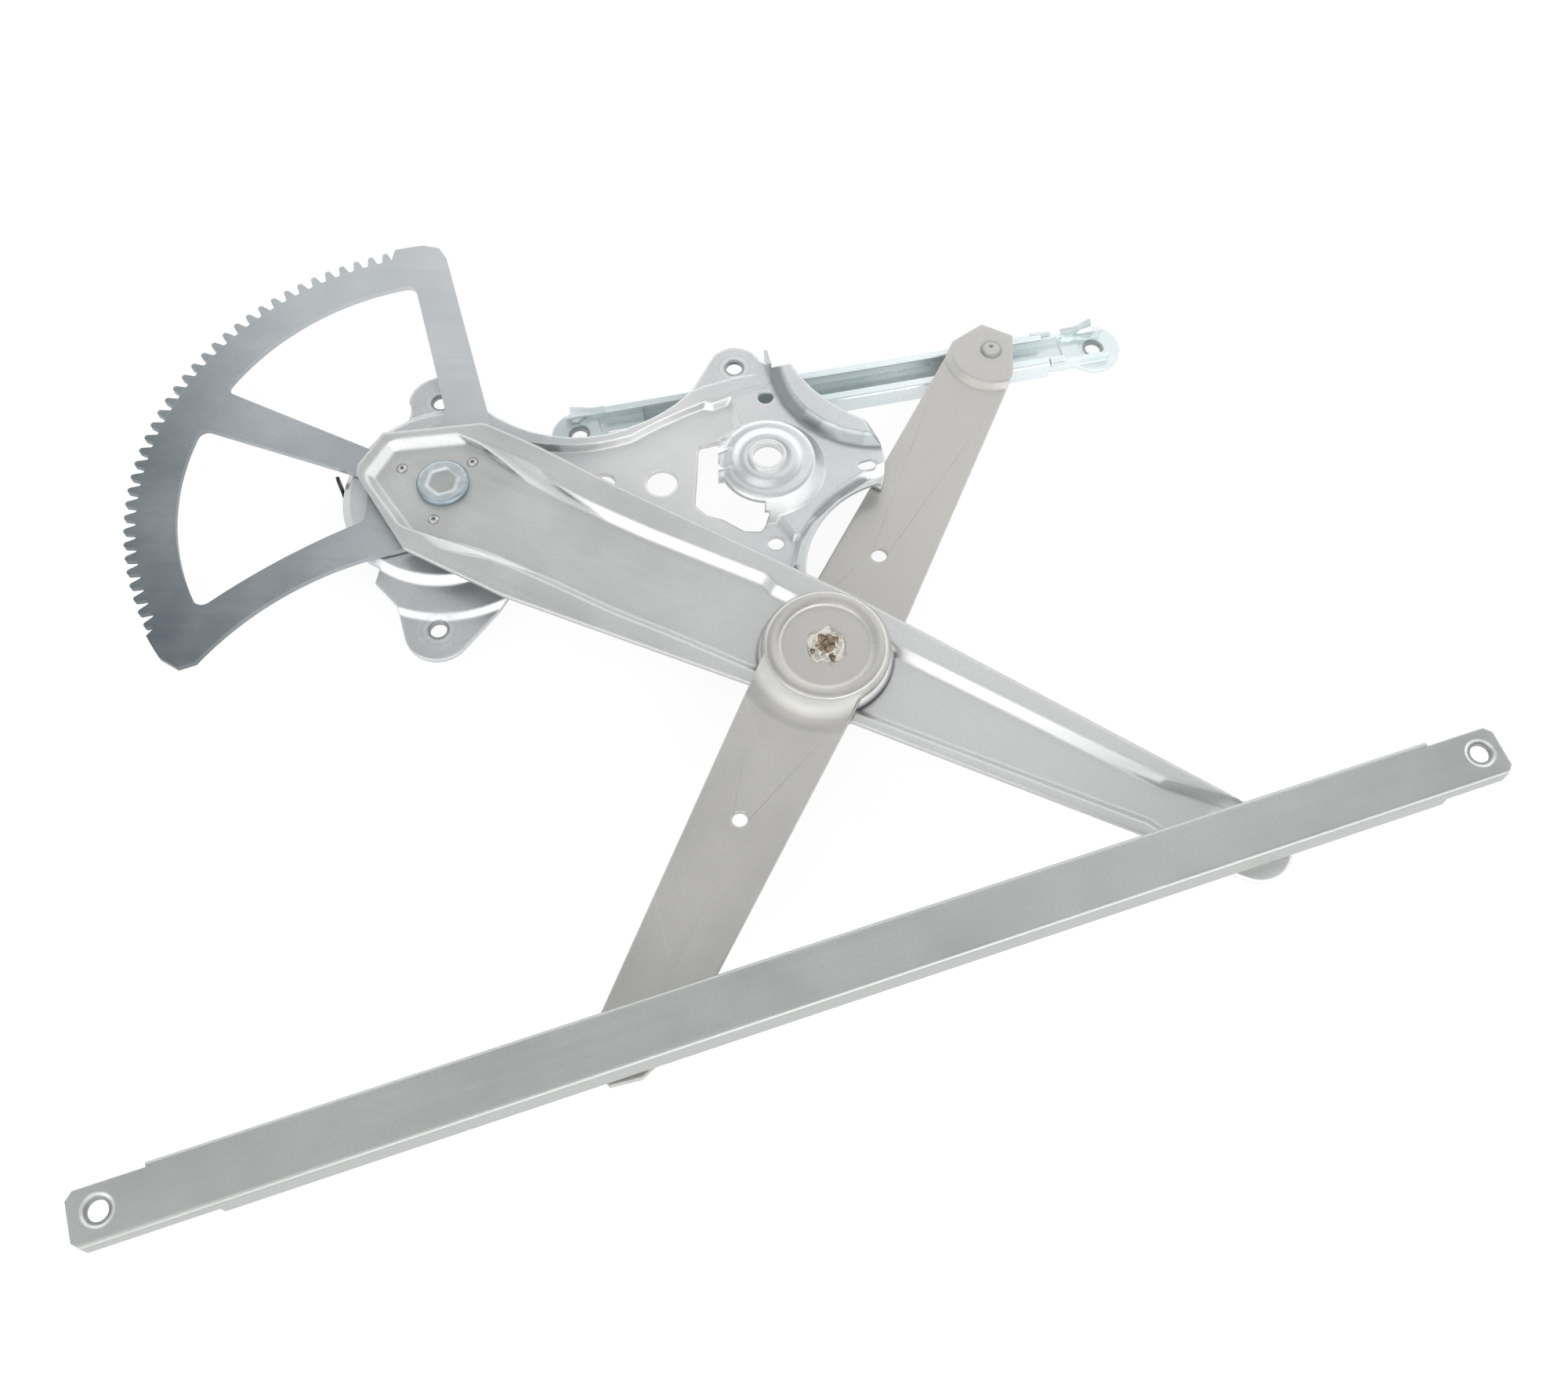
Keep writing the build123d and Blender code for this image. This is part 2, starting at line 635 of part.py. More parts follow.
def roller_stud(place, seat, steel, mouth, roller_end, turn=1):
    """Shouldered stud riveted in an arm; its neck passes the channel's mouth and carries a roller."""
    reach = abs(roller_end - seat)
    shoulder = abs(mouth - seat) - roller_gap
    axis = Vector(0, 0, 0)
    stud = cylinder(axis, stud_neck / 2, -steel, reach)
    stud += cylinder(axis, stud_head / 2, 0, shoulder)
    stud += cone(axis, stud_rivet / 2 - 0.4, stud_rivet / 2, -steel - stud_rivet_thick, -steel)
    if turn < 0:
        stud = Rot(180, 0, 0) * stud
    return Pos(place.X, place.Y, seat) * stud


def roller(place, radius, bottom, top):
    """Plastic roller with broken edges, running on its stud."""
    wheel = cylinder(place, radius, bottom, top)
    wheel = chamfer(wheel.edges(), 0.6)
    return wheel - cylinder(place, stud_neck / 2 + pin_gap, bottom - 1, top + 1)


def lipped_channel(width, depth, steel, lip, left, right):
    """Straight channel with in-turned lips, web at the top, drawn along X with its web's top at zero."""
    half = width / 2
    section = outline(
        [
            (-half, 0),
            (half, 0),
            (half, -depth),
            (half - steel - lip, -depth),
            (half - steel - lip, -depth + steel),
            (half - steel, -depth + steel),
            (half - steel, -steel),
            (-half + steel, -steel),
            (-half + steel, -depth + steel),
            (-half + steel + lip, -depth + steel),
            (-half + steel + lip, -depth),
            (-half, -depth),
        ]
    )
    outer = [v for v in section.vertices() if abs(v.X) > half - 0.01]
    section = fillet(outer, 0.8 * steel)
    return Pos(left, 0, 0) * extrude(Plane.YZ * section, right - left)


def glass_channel():
    """Long channel that carries the glass, with trimmed ends and a dimpled bolt hole at each."""
    bar = lipped_channel(
        channel_width, channel_height, channel_steel, channel_lip, channel_left, channel_right
    )
    half = channel_width / 2
    ends = (
        (channel_left, channel_left_trim, channel_flange_trim, 1),
        (channel_right, channel_right_trim, channel_right_trim, -1),
    )
    for end, trim, near_trim, turn in ends:
        middle = end + turn * trim / 2
        near_middle = end + turn * near_trim / 2
        far = Pos(middle, half, -channel_height / 2 - channel_steel) * Box(trim, half, channel_height)
        near = Pos(near_middle, -half, -channel_height + 2.4) * Box(near_trim, half, channel_height * 0.6)
        edge = Pos(middle, half, 0) * Box(trim, 2 * channel_steel, 40)
        bar = bar - far - near - edge
        for side in (half - channel_steel, -half):
            bar -= Pos(end, side, 0) * Rot(0, 0, 45) * Box(channel_corner, channel_corner, 40)
    for hole_x in (channel_hole_left, channel_hole_right):
        place = Vector(hole_x, 0, 0)
        bar -= cone(place, channel_hole / 2 + 0.8, channel_hole / 2 + 2.0, -0.6, 0.01)
        bar -= cylinder(place, channel_hole / 2, -channel_height, 5)
    return Pos(0, lower_end.Y, channel_bottom + channel_height) * bar


def rail_place(solid):
    """Moves a solid drawn along the guide rail to the rail's place."""
    return Pos(upper_end.X, upper_end.Y, rail_top) * Rot(0, 0, rail_angle) * solid


def guide_rail():
    """Short channel, open away from the door panel, that the upper roller runs in."""
    bar = Rot(180, 0, 0) * lipped_channel(rail_width, rail_depth, rail_steel, rail_lip, rail_left, rail_right)
    return rail_place(Pos(0, 0, -rail_depth) * bar)


def rail_bracket(end, hole_x, outward):
    """Rail end bracket: a tongue in the rail, side walls and a rounded foot with a hole."""
    inner = rail_width / 2 - rail_steel - 0.05
    floor = -rail_depth + rail_steel
    tongue_start = end - outward * 16.0
    foot = Pos(hole_x, 0, 0) * Circle(rail_end_radius)
    neck_middle = (tongue_start + hole_x) / 2
    neck = Pos(neck_middle, 0) * Rectangle(abs(hole_x - tongue_start), 2 * inner)
    plate = prism(foot + neck, floor, floor + bracket_steel)
    rib = Pos((end + hole_x) / 2 + outward * 1.0, 0, floor + bracket_steel) * Box(8.0, 2 * inner - 3, 1.4)
    plate += rib
    wall_end = hole_x + outward * 4.5
    wall_middle = (tongue_start + wall_end) / 2
    wall = Box(abs(wall_end - tongue_start), bracket_wall, bracket_height)
    for side in (1, -1):
        plate += Pos(wall_middle, side * (inner - bracket_wall / 2), floor + bracket_height / 2) * wall
    plate -= Pos(hole_x, 0, 0) * Cylinder(rail_hole / 2, 60)
    return rail_place(plate)


def to_origin(solid):
    """Moves the finished solid so that the origin is the middle of the motor's pilot bore."""
    return Pos(-hub.X, -hub.Y, -(hub_top - plate_steel / 2)) * solid


lift_roller_radius = channel_width / 2 - channel_steel - roller_gap
guide_roller_radius = rail_width / 2 - rail_steel - roller_gap
roller_bottom = channel_bottom + channel_steel + roller_gap
roller_top = roller_bottom + roller_height
guide_roller_top = rail_top - rail_steel - roller_gap
guide_roller_bottom = guide_roller_top - (rail_depth - 2 * rail_steel - 2 * roller_gap - 0.6)

parts = {
    "base_plate": base_plate(),
    "pivot_bush": pivot_bush(),
    "thrust_washer": thrust_washer(),
    "counterbalance_spring": counterbalance_spring(),
    "main_pivot_pin": main_pivot_pin(),
    "pivot_retaining_ring": pivot_ring(),
    "lift_arm": lift_arm(),
    "sector_gear": sector_gear(),
    "sector_rivets": sector_rivets(),
    "lift_roller_stud": roller_stud(lift_end, floor_top, arm_steel, channel_bottom, roller_top),
    "lift_roller": roller(lift_end, lift_roller_radius, roller_bottom, roller_top),
    "centre_pivot_pin": centre_pivot_pin(),
    "centre_upper_washer": centre_washer(floor_top + running_gap, lower_body_top + 0.2 - arm_steel),
    "centre_lower_washer": centre_washer(upper_dish_top, sector_top - running_gap),
    "lower_equalizer_arm": lower_equalizer_arm(),
    "upper_equalizer_arm": upper_equalizer_arm(),
    "lower_roller_stud": roller_stud(lower_end, lower_body_top, arm_steel, channel_bottom, roller_top),
    "lower_roller": roller(lower_end, lift_roller_radius, roller_bottom, roller_top),
    "guide_roller_stud": roller_stud(
        upper_end, upper_tab_top - arm_steel, arm_steel, rail_top, guide_roller_bottom, -1
    ),
    "guide_roller": roller(upper_end, guide_roller_radius, guide_roller_bottom, guide_roller_top),
    "glass_channel": glass_channel(),
    "guide_rail": guide_rail(),
    "guide_rail_bracket_left": rail_bracket(rail_left, rail_hole_left, -1),
    "guide_rail_bracket_right": rail_bracket(rail_right, rail_hole_right, 1),
}

os.makedirs("parts", exist_ok=True)
for name, solid in parts.items():
    export_step(to_origin(solid), f"parts/{name}.step")
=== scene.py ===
"""Looks of the window regulator: metal finishes, formed edges and small fittings on its solids."""

import math

import bmesh
import bpy
from mathutils import Matrix, Vector


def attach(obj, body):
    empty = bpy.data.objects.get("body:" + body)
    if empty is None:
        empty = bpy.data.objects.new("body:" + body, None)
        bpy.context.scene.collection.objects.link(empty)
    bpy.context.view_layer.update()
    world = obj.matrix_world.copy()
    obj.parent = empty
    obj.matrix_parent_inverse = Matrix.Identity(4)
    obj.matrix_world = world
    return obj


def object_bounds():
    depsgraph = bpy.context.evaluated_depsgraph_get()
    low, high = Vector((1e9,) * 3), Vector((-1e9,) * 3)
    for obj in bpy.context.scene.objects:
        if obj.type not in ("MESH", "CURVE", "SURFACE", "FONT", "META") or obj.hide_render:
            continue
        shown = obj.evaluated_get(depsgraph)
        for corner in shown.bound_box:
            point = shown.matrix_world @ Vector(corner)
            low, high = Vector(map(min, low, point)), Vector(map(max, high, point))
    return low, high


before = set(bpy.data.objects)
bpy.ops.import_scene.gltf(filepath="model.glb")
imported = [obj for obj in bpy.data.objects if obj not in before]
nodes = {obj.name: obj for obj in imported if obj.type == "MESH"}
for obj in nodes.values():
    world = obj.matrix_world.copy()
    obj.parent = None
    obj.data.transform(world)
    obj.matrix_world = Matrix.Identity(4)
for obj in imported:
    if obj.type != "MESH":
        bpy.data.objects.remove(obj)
cad_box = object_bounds()

MM_PER_METRE = 1000

# Places are measured in millimetres about the main pivot, and up from the ears' mounting faces.
# The frame's origin lies in the motor's pilot bore.
HUB_X = 123.977
HUB_Y = -29.764
PLATE_Z = 13.8
HALF_ARM = 167.0
FOLD = math.radians(45.9)
CENTRE = (HALF_ARM * math.cos(FOLD), -HALF_ARM * math.sin(FOLD))
LIFT_END = (2 * CENTRE[0], 2 * CENTRE[1])
UPPER_END = (2 * CENTRE[0], 0.0)
LOWER_END = (0.0, 2 * CENTRE[1])
RAIL_TURN = math.radians(-7.0)

# Levels of the lower equalizer half, its centre disc and the guide rail's upper edge.
LOWER_TOP = 19.3
DISC_TOP = LOWER_TOP + 2.2
RAIL_TOP = -3.2

# Middles of the marks that the materials draw.
PALE_FIELD = (92.0, -20.0, 9.0)
RIM_END_SHADE = [(110.4, 5.5, 8.0), (114.0, 5.4, 8.0), (117.4, 5.3, 8.0)]
RIM_CURL_SHADE = (182.0, 6.2, 8.0)
MOUNT_HOLES = [(8.4, 46.9, 2.0), (-17.5, -56.7, 2.0), (126.6, 21.5, 6.9)]
WELD = (CENTRE[0], CENTRE[1], 20.7)
SHOULDER = (CENTRE[0], CENTRE[1], 20.5)
PIN_HEAD = (0.0, 0.0, 15.1)
RAIL_HOLES = [(278.1, -5.6, -9.2), (58.9, 21.3, -9.2)]
CHANNEL_HOLES = [(-161.5, LOWER_END[1], 34.6), (313.5, LOWER_END[1], 34.6)]
ROLLER_END = (LIFT_END[0], LIFT_END[1], 12.5)
STUD_HEAD = (UPPER_END[0], UPPER_END[1], 2.4)
STUD_DOT = (UPPER_END[0] + 0.3, 1.0, 2.5)
RIVETS = [(-13.6, 12.4, 13.2), (13.4, 6.4, 13.2), (-7.4, -14.8, 13.2)]

# Inner reach of a mark that is filled to its middle, in millimetres.
FILLED = -40.0
# Share of a material's colour that its darker specks keep.
SHADE = 0.90


def row(x, y, z):
    """Point in metres from millimetres about the main pivot."""
    return Vector(
        ((x - HUB_X) / MM_PER_METRE, (y - HUB_Y) / MM_PER_METRE, (z - PLATE_Z) / MM_PER_METRE)
    )


def new_material(name):
    """Empty node material with its output and shader joined."""
    material = bpy.data.materials.new(name)
    material.use_nodes = True
    tree = material.node_tree
    tree.nodes.clear()
    out = tree.nodes.new("ShaderNodeOutputMaterial")
    shader = tree.nodes.new("ShaderNodeBsdfPrincipled")
    tree.links.new(shader.outputs["BSDF"], out.inputs["Surface"])
    return material, tree, shader


def noise(tree, vector, scale, detail=4.0, roughness=0.5):
    """Noise texture over a vector, its factor output."""
    node = tree.nodes.new("ShaderNodeTexNoise")
    node.inputs["Scale"].default_value = scale
    node.inputs["Detail"].default_value = detail
    node.inputs["Roughness"].default_value = roughness
    tree.links.new(vector, node.inputs["Vector"])
    return node.outputs["Fac"]


def ramp(tree, factor, low, high, low_value=0.0, high_value=1.0):
    """Value that runs from one number to another as a factor passes between two places."""
    node = tree.nodes.new("ShaderNodeMapRange")
    node.inputs["From Min"].default_value = low
    node.inputs["From Max"].default_value = high
    node.inputs["To Min"].default_value = low_value
    node.inputs["To Max"].default_value = high_value
    tree.links.new(factor, node.inputs["Value"])
    return node.outputs["Result"]


def mix_colour(tree, factor, first, second):
    """Colour between two colours or sockets."""
    node = tree.nodes.new("ShaderNodeMix")
    node.data_type = "RGBA"
    tree.links.new(factor, node.inputs["Factor"])
    for socket, value in ((node.inputs["A"], first), (node.inputs["B"], second)):
        if isinstance(value, bpy.types.NodeSocket):
            tree.links.new(value, socket)
        else:
            socket.default_value = (*value, 1)
    return node.outputs["Result"]


def maths(tree, operation, first, second):
    """Result of a sum on two sockets or numbers."""
    node = tree.nodes.new("ShaderNodeMath")
    node.operation = operation
    for socket, value in zip(node.inputs, (first, second)):
        if isinstance(value, bpy.types.NodeSocket):
            tree.links.new(value, socket)
        else:
            socket.default_value = value
    return node.outputs["Value"]


def bumped(tree, shader, height, strength, distance):
    """Bump node between a height and a shader."""
    bump = tree.nodes.new("ShaderNodeBump")
    bump.inputs["Strength"].default_value = strength
    bump.inputs["Distance"].default_value = distance
    tree.links.new(height, bump.inputs["Height"])
    tree.links.new(bump.outputs["Normal"], shader.inputs["Normal"])
    return bump


def streaks(tree, angle, along, across, detail, roughness):
    """Noise drawn out along a direction, for rolling marks and scratches."""
    place = tree.nodes.new("ShaderNodeTexCoord").outputs["Object"]
    turn = tree.nodes.new("ShaderNodeMapping")
    turn.inputs["Rotation"].default_value = (0, 0, -angle)
    tree.links.new(place, turn.inputs["Vector"])
    scale = tree.nodes.new("ShaderNodeMapping")
    scale.inputs["Scale"].default_value = (along, across, across)
    tree.links.new(turn.outputs["Vector"], scale.inputs["Vector"])
    return noise(tree, scale.outputs["Vector"], 1.0, detail, roughness)


def distance_to(tree, centres, wobble, wobble_scale=300.0):
    """Millimetres from the nearest of some places, made uneven by a wobble."""
    place = tree.nodes.new("ShaderNodeTexCoord").outputs["Object"]
    nearest = None
    for centre in centres:
        node = tree.nodes.new("ShaderNodeVectorMath")
        node.operation = "DISTANCE"
        node.inputs[1].default_value = row(*centre)
        tree.links.new(place, node.inputs[0])
        found = node.outputs["Value"]
        nearest = found if nearest is None else maths(tree, "MINIMUM", nearest, found)
    reach = maths(tree, "MULTIPLY", nearest, MM_PER_METRE)
    drift = noise(tree, place, wobble_scale, detail=3.0, roughness=0.6)
    return maths(tree, "ADD", reach, ramp(tree, drift, 0.25, 0.75, -wobble, wobble))


def banded(tree, colour, reach, tone, strength, outer, soft, inner=FILLED):
    """Colour with a soft ring of another tone between two reaches in millimetres."""
    inside = ramp(tree, reach, outer - soft, outer + soft, strength, 0.0)
    outside = ramp(tree, reach, inner - soft, inner + soft)
    return mix_colour(tree, maths(tree, "MULTIPLY", inside, outside), colour, tone)


def sheet_metal(
    name,
    colour,
    tint,
    roughness,
    grain=0.0,
    cloud=26.0,
    scratches=0.25,
    metal=0.82,
    rounding=0.0,
    marks=None,
):
    """Zinc plated or rolled sheet: cloudy tone, fine speckle, rolling marks and a few scratches."""
    material, tree, shader = new_material(name)
    place = tree.nodes.new("ShaderNodeTexCoord").outputs["Object"]
    clouds = noise(tree, place, cloud, detail=5.0, roughness=0.55)
    speckle = noise(tree, place, 900.0, detail=2.0, roughness=0.6)
    grain_lines = streaks(tree, grain, along=14.0, across=420.0, detail=3.0, roughness=0.6)
    first_set = streaks(tree, grain + 0.7, along=9.0, across=700.0, detail=1.0, roughness=0.4)
    second_set = streaks(tree, grain - 0.45, along=12.0, across=900.0, detail=1.0, roughness=0.4)
    first_scratches = ramp(tree, first_set, 0.70, 0.78)
    second_scratches = ramp(tree, second_set, 0.71, 0.79)
    scratch = maths(tree, "MAXIMUM", first_scratches, second_scratches)

    toned = mix_colour(tree, ramp(tree, clouds, 0.32, 0.68), colour, tint)
    darker = tuple(c * SHADE for c in colour)
    toned = mix_colour(tree, ramp(tree, speckle, 0.40, 0.72, 0.0, 0.45), toned, darker)
    lighter = tuple(min(1.0, c * 1.16 + 0.03) for c in colour)
    toned = mix_colour(tree, maths(tree, "MULTIPLY", scratch, scratches), toned, lighter)
    if marks:
        toned = marks(tree, toned)
    tree.links.new(toned, shader.inputs["Base Color"])
    shader.inputs["Metallic"].default_value = metal

    cloud_rough = ramp(tree, clouds, 0.3, 0.7, roughness - 0.05, roughness + 0.06)
    grain_rough = ramp(tree, grain_lines, 0.3, 0.7, -0.03, 0.03)
    tree.links.new(maths(tree, "ADD", cloud_rough, grain_rough), shader.inputs["Roughness"])

    grain_height = maths(tree, "MULTIPLY", grain_lines, 0.5)
    speckle_height = maths(tree, "MULTIPLY", speckle, 0.6)
    height = maths(tree, "ADD", grain_height, speckle_height)
    bump = bumped(tree, shader, height, strength=0.10, distance=0.0002)
    if rounding:
        soft = tree.nodes.new("ShaderNodeBevel")
        soft.samples = 6
        soft.inputs["Radius"].default_value = rounding / MM_PER_METRE
        tree.links.new(soft.outputs["Normal"], bump.inputs["Normal"])
    return material


def moulded(name, colour):
    """Moulded plastic with a fine pebbled skin."""
    material, tree, shader = new_material(name)
    place = tree.nodes.new("ShaderNodeTexCoord").outputs["Object"]
    grain = noise(tree, place, 1400.0, detail=2.0)
    tone = noise(tree, place, 60.0, detail=3.0)
    darker = tuple(c * SHADE for c in colour)
    toned = mix_colour(tree, ramp(tree, tone, 0.3, 0.7), colour, darker)
    tree.links.new(toned, shader.inputs["Base Color"])
    tree.links.new(ramp(tree, grain, 0.2, 0.8, 0.42, 0.58), shader.inputs["Roughness"])
    bumped(tree, shader, grain, strength=0.15, distance=0.0001)
    return material


def plate_field_and_painted_shading(tree, colour):
    """Paler field by the motor's boss; painted shade and highlights at the mounting holes, and
    painted shade on a rim band's end and along the curled rim's wall.
    """
    field = distance_to(tree, [PALE_FIELD], 3.0, wobble_scale=40.0)
    colour = banded(tree, colour, field, (0.76, 0.755, 0.745), 0.6, outer=44.0, soft=14.0)
    # Painted shade: a darker patch that dims the star-shaped highlight where the rim band ends.
    rim_end_shade = distance_to(tree, RIM_END_SHADE, 0.3)
    colour = banded(tree, colour, rim_end_shade, (0.50, 0.50, 0.50), 0.8, outer=3.4, soft=1.2)
    # Painted shade: a dark ring for the mounting holes' shaded walls; the two pale rings are
    # painted highlights on the bosses round them.
    reach = distance_to(tree, MOUNT_HOLES, 0.25)
    dark, pale = (0.16, 0.17, 0.17), (0.92, 0.93, 0.93)
    colour = banded(tree, colour, reach, dark, 0.7, inner=2.0, outer=4.2, soft=0.35)
    colour = banded(tree, colour, reach, pale, 0.25, inner=4.5, outer=5.6, soft=0.5)
    colour = banded(tree, colour, reach, pale, 0.12, inner=7.3, outer=8.1, soft=0.5)
    # Painted shade: a dark blue-grey arc along the curled rim's wall.
    curl_shade = distance_to(tree, [RIM_CURL_SHADE], 0.4, wobble_scale=60.0)
    return banded(tree, colour, curl_shade, (0.10, 0.125, 0.13), 0.65, inner=38.8, outer=43.8, soft=0.9)


def plated_fade(tree, colour):
    """Zinc bloom of the sector, dark blue-grey at its left teeth and paler toward its right arm."""
    place = tree.nodes.new("ShaderNodeTexCoord").outputs["Object"]
    axes = tree.nodes.new("ShaderNodeSeparateXYZ")
    tree.links.new(place, axes.inputs["Vector"])
    lean = maths(tree, "MULTIPLY", axes.outputs["Y"], 0.16)
    across = maths(tree, "ADD", axes.outputs["X"], lean)
    drift = ramp(tree, noise(tree, place, 18.0, roughness=0.6), 0.2, 0.8, -0.03, 0.03)
    uneven = maths(tree, "ADD", across, drift)
    pale = mix_colour(tree, ramp(tree, uneven, -0.15, -0.08), colour, (0.56, 0.58, 0.59))
    darkness = ramp(tree, uneven, -0.26, -0.15, 1.0, 0.0)
    return mix_colour(tree, darkness, pale, (0.11, 0.135, 0.15))


def weld_marks(tree, colour):
    """Burnt and flaked plating round the centre pivot."""
    edge = distance_to(tree, [WELD], 2.6, wobble_scale=240.0)
    core = distance_to(tree, [WELD], 2.2, wobble_scale=420.0)
    rust, pale, burnt = (0.20, 0.13, 0.08), (0.74, 0.72, 0.64), (0.12, 0.09, 0.07)
    colour = banded(tree, colour, edge, pale, 0.75, outer=6.6, soft=0.5)
    colour = banded(tree, colour, edge, rust, 0.35, inner=6.4, outer=7.2, soft=0.4)
    colour = banded(tree, colour, core, rust, 0.9, outer=3.6, soft=0.5)
    return banded(tree, colour, core, burnt, 0.5, inner=4.9, outer=5.6, soft=0.25)


def shoulder_highlight(tree, colour):
    """Painted highlight: a bright band along the soft shoulder beside the centre disc."""
    reach = distance_to(tree, [SHOULDER], 0.4, wobble_scale=60.0)
    return banded(tree, colour, reach, (0.88, 0.87, 0.83), 0.85, inner=23.6, outer=28.6, soft=1.8)


def pin_marks(tree, colour):
    """Dark rolled edge, bright land and dull staked middle of the main pivot pin."""
    reach = distance_to(tree, [PIN_HEAD], 0.3)
    dark, dull = (0.20, 0.27, 0.30), (0.45, 0.46, 0.45)
    colour = banded(tree, colour, reach, dark, 0.8, inner=9.2, outer=14.0, soft=0.3)
    return banded(tree, colour, reach, dull, 0.85, outer=5.4, soft=0.5)


def rail_hole_shade(tree, colour):
    """Painted shade in dark dished rings round the two holes of the guide rail's brackets."""
    reach = distance_to(tree, RAIL_HOLES, 0.2)
    return banded(tree, colour, reach, (0.17, 0.19, 0.19), 0.8, inner=2.0, outer=4.5, soft=0.35)


def channel_hole_shade_and_highlight(tree, colour):
    """Painted shade in dark dished rings round the glass channel's bolt holes, with a painted
    highlight on their pale edge.
    """
    reach = distance_to(tree, CHANNEL_HOLES, 0.2)
    dark, pale = (0.20, 0.21, 0.20), (0.8, 0.82, 0.8)
    colour = banded(tree, colour, reach, dark, 0.7, inner=2.0, outer=4.3, soft=0.3)
    return banded(tree, colour, reach, pale, 0.5, inner=4.6, outer=5.4, soft=0.3)


def roller_end_light(tree, colour):
    """Painted light: the lift arm's roller end is painted paler, as if lit, where it lies in the
    channel's shade.
    """
    reach = distance_to(tree, [ROLLER_END], 0.5)
    return banded(tree, colour, reach, (0.93, 0.94, 0.93), 0.85, outer=17.0, soft=3.0)


def stud_marks(tree, colour):
    """Dark grey ring and punched dot on the riveted head of the upper roller's stud."""
    ring = distance_to(tree, [STUD_HEAD], 0.2)
    dot = distance_to(tree, [STUD_DOT], 0.15)
    grey, black = (0.22, 0.23, 0.22), (0.12, 0.12, 0.12)
    colour = banded(tree, colour, ring, grey, 0.6, inner=3.3, outer=6.0, soft=0.3)
    return banded(tree, colour, dot, black, 0.8, outer=0.8, soft=0.3)


def rivet_marks(tree, colour):
    """Dark punched middles and rims of the three sector rivets."""
    reach = distance_to(tree, RIVETS, 0.2, wobble_scale=900.0)
    dark = (0.10, 0.09, 0.08)
    colour = banded(tree, colour, reach, dark, 0.9, outer=0.75, soft=0.2)
    return banded(tree, colour, reach, dark, 0.6, inner=1.75, outer=4.0, soft=0.2)


plate_steel = sheet_metal(
    "plate_steel",
    (0.56, 0.58, 0.585),
    (0.64, 0.655, 0.66),
    roughness=0.32,
    grain=0.3,
    rounding=1.4,
    marks=plate_field_and_painted_shading,
)
arm_steel = sheet_metal(
    "arm_steel",
    (0.54, 0.545, 0.54),
    (0.585, 0.59, 0.585),
    roughness=0.36,
    grain=-0.80,
    rounding=1.8,
    marks=roller_end_light,
)
rivet_steel = sheet_metal(
    "rivet_steel", (0.58, 0.58, 0.57), (0.62, 0.62, 0.61), roughness=0.4, marks=rivet_marks
)
sector_steel = sheet_metal(
    "sector_steel",
    (0.40, 0.43, 0.45),
    (0.48, 0.505, 0.52),
    roughness=0.36,
    grain=-0.35,
    cloud=16.0,
    scratches=0.5,
    marks=plated_fade,
)
equalizer_steel = sheet_metal(
    "equalizer_steel",
    (0.475, 0.465, 0.44),
    (0.52, 0.51, 0.485),
    roughness=0.40,
    grain=0.80,
    rounding=1.2,
    marks=weld_marks,
)
equalizer_skin = sheet_metal(
    "equalizer_skin",
    (0.475, 0.465, 0.44),
    (0.52, 0.51, 0.485),
    roughness=0.36,
    grain=0.80,
    marks=shoulder_highlight,
)
plate_skin = sheet_metal(
    "plate_skin", (0.58, 0.60, 0.605), (0.66, 0.675, 0.68), roughness=0.30, grain=0.3
)
channel_steel = sheet_metal(
    "channel_steel",
    (0.43, 0.447, 0.43),
    (0.465, 0.482, 0.465),
    roughness=0.38,
    rounding=0.8,
    marks=channel_hole_shade_and_highlight,
)
rail_steel = sheet_metal(
    "rail_steel",
    (0.68, 0.75, 0.76),
    (0.80, 0.85, 0.86),
    roughness=0.24,
    grain=RAIL_TURN,
    metal=0.6,
    rounding=0.8,
    marks=rail_hole_shade,
)
rail_skin = sheet_metal(
    "rail_skin", (0.62, 0.70, 0.71), (0.80, 0.85, 0.86), roughness=0.26, grain=RAIL_TURN, metal=0.7
)
pin_steel = sheet_metal(
    "pin_steel",
    (0.47, 0.47, 0.45),
    (0.54, 0.54, 0.52),
    roughness=0.34,
    cloud=120.0,
    rounding=0.8,
    marks=stud_marks,
)
pin_head_steel = sheet_metal(
    "pin_head_steel",
    (0.50, 0.55, 0.57),
    (0.60, 0.64, 0.66),
    roughness=0.30,
    cloud=160.0,
    rounding=1.8,
    marks=pin_marks,
)
spring_steel = sheet_metal(
    "spring_steel", (0.06, 0.06, 0.065), (0.09, 0.09, 0.095), roughness=0.40, metal=0.9
)
bush_bronze = sheet_metal("bush_bronze", (0.45, 0.35, 0.22), (0.5, 0.4, 0.26), roughness=0.45)
washer_plastic = moulded("washer_plastic", (0.72, 0.71, 0.66))
roller_plastic = moulded("roller_plastic", (0.80, 0.79, 0.75))

finishes = {
    "base_plate": plate_steel,
    "pivot_bush": bush_bronze,
    "thrust_washer": washer_plastic,
    "counterbalance_spring": spring_steel,
    "main_pivot_pin": pin_head_steel,
    "pivot_retaining_ring": spring_steel,
    "lift_arm": arm_steel,
    "sector_gear": sector_steel,
    "sector_rivets": rivet_steel,
    "lift_roller_stud": pin_steel,
    "lift_roller": roller_plastic,
    "centre_pivot_pin": equalizer_steel,
    "centre_upper_washer": washer_plastic,
    "centre_lower_washer": washer_plastic,
    "lower_equalizer_arm": equalizer_steel,
    "upper_equalizer_arm": equalizer_steel,
    "lower_roller_stud": pin_steel,
    "lower_roller": roller_plastic,
    "guide_roller_stud": pin_steel,
    "guide_roller": roller_plastic,
    "glass_channel": channel_steel,
    "guide_rail": rail_steel,
    "guide_rail_bracket_left": rail_steel,
    "guide_rail_bracket_right": rail_steel,
}

